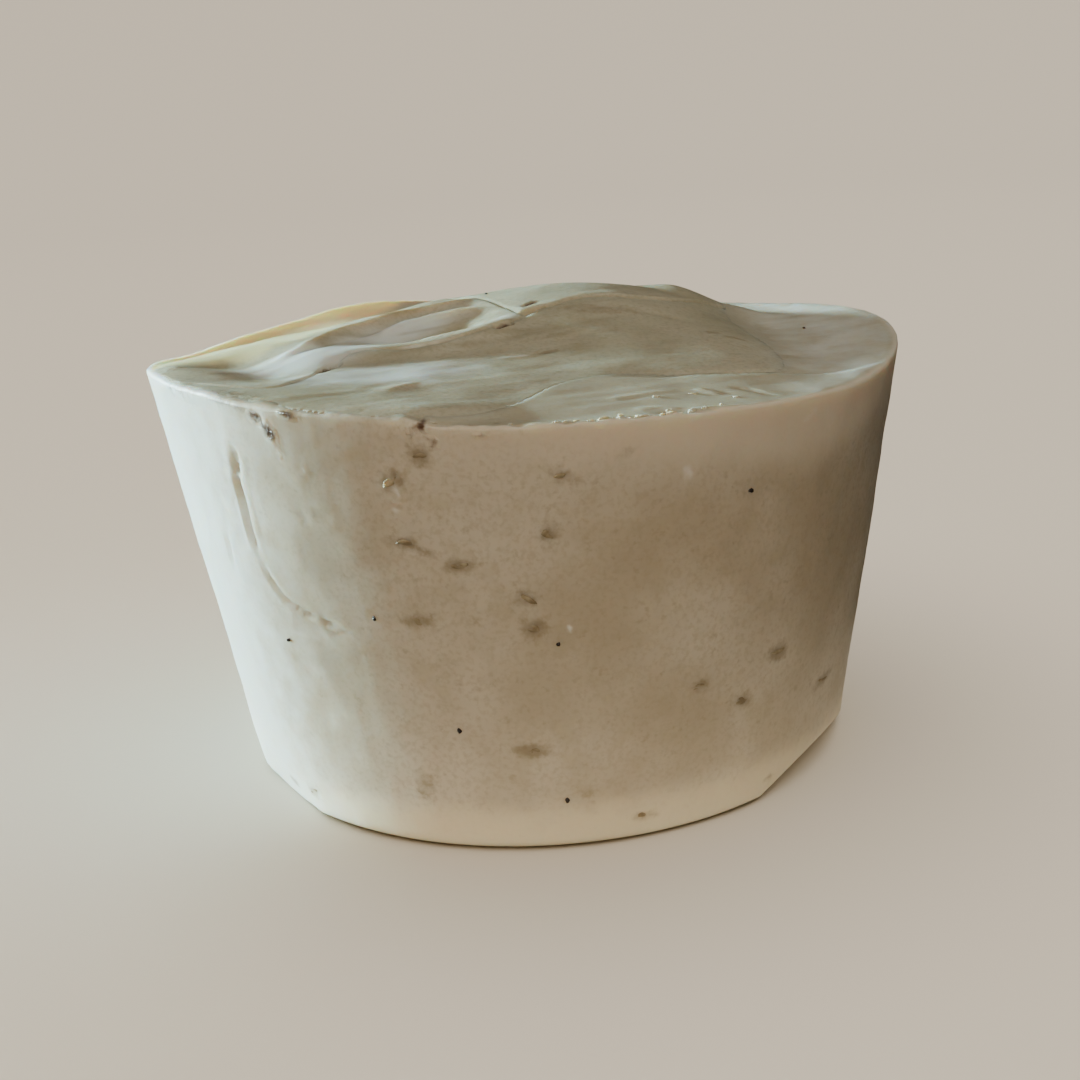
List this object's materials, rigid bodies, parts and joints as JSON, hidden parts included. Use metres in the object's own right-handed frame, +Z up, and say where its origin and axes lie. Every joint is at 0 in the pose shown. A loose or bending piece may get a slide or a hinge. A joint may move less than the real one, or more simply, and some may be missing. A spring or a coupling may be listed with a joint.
{
  "type": "shaving soap puck",
  "caption": "Tapered round puck of cast shaving soap with a spooned, lapped crown, a thin uneven rim and flecks of bran in the wall.",
  "frame": {"origin": "middle of the flat base, on the surface that the puck stands on", "axes": "+Z up through the crown; -Y towards the bare ledge at the front; +X to the right seen from the front"},
  "size_m": [0.0701, 0.0699, 0.0427],
  "materials": {
    "poured_soap": "satin",
    "crown_soap": "satin",
    "bran": "matte",
    "seed": "matte"
  },
  "bodies": {
    "root": {"poured_body": "poured_soap", "front_lap": "crown_soap", "left_lap": "crown_soap", "back_lap": "crown_soap", "bran_flakes": "bran", "seed_specks": "seed", "rim_crumbs": "crown_soap"}
  },
  "joints": []
}
